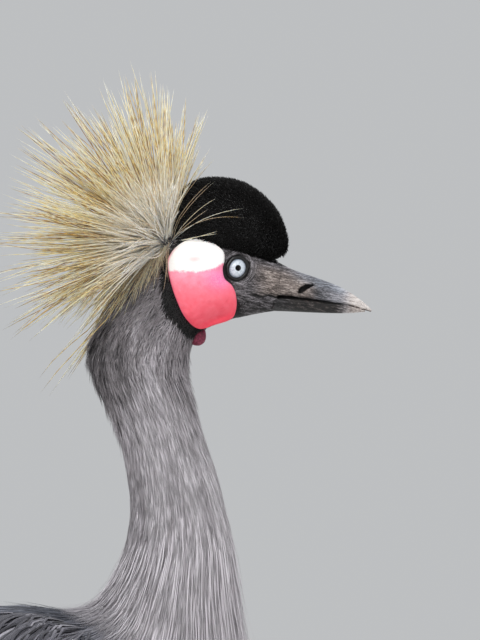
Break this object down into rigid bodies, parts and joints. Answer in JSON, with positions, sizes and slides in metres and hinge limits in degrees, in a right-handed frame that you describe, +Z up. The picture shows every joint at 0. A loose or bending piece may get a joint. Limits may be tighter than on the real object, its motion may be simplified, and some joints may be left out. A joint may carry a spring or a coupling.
{
  "type": "black crowned crane",
  "caption": "Standing black crowned crane with a golden bristle crown, bare white and red cheeks, folded wings and long slender legs, a still life-size model.",
  "frame": {"origin": "centre of the bounding box in plan, at the level of the soles on the floor", "axes": "+Z up, +X the way the bill points, +Y to the bird's left"},
  "size_m": [0.5756, 0.1952, 0.9173],
  "materials": {
    "slate": "matte slate-grey feather",
    "neck_grey": "matte mid-grey feather",
    "velvet": "dense black velvet-like feather",
    "gold": "stiff straw-gold bristle, satin",
    "white": "matte white feather",
    "chestnut": "dark chestnut feather with black ends, satin",
    "black": "black feather, satin",
    "cheek_skin": "bare skin, white above and red below, soft satin",
    "wattle_skin": "bare dark magenta skin, soft satin",
    "horn": "grey horn, darker below and paler at the tip, satin",
    "face_skin": "short black and grey feather and dark lid skin, matte",
    "leg_scale": "blackish scaled skin, satin",
    "iris": "wet pale blue-grey eye with a black pupil, glossy"
  },
  "bodies": {
    "root": {"bill_lower": "horn", "bill_upper": "horn", "cap": "velvet", "cheek_left": "cheek_skin", "cheek_right": "cheek_skin", "claw_left_hind": "horn", "claw_left_inner": "horn", "claw_left_middle": "horn", "claw_left_outer": "horn", "claw_right_hind": "horn", "claw_right_inner": "horn", "claw_right_middle": "horn", "claw_right_outer": "horn", "crest": "gold", "eye_left": "iris", "eye_right": "iris", "foot_left": "leg_scale", "foot_right": "leg_scale", "head": "face_skin", "leg_left": "leg_scale", "leg_right": "leg_scale", "neck_lower": "neck_grey", "neck_upper": "neck_grey", "tail": "black", "thigh_left": "slate", "thigh_right": "slate", "torso": "slate", "wattle": "wattle_skin", "wing_coverts_left": "white", "wing_coverts_right": "white", "wing_flight_left": "chestnut", "wing_flight_right": "chestnut", "wing_plumes_left": "gold", "wing_plumes_right": "gold"}
  },
  "joints": []
}
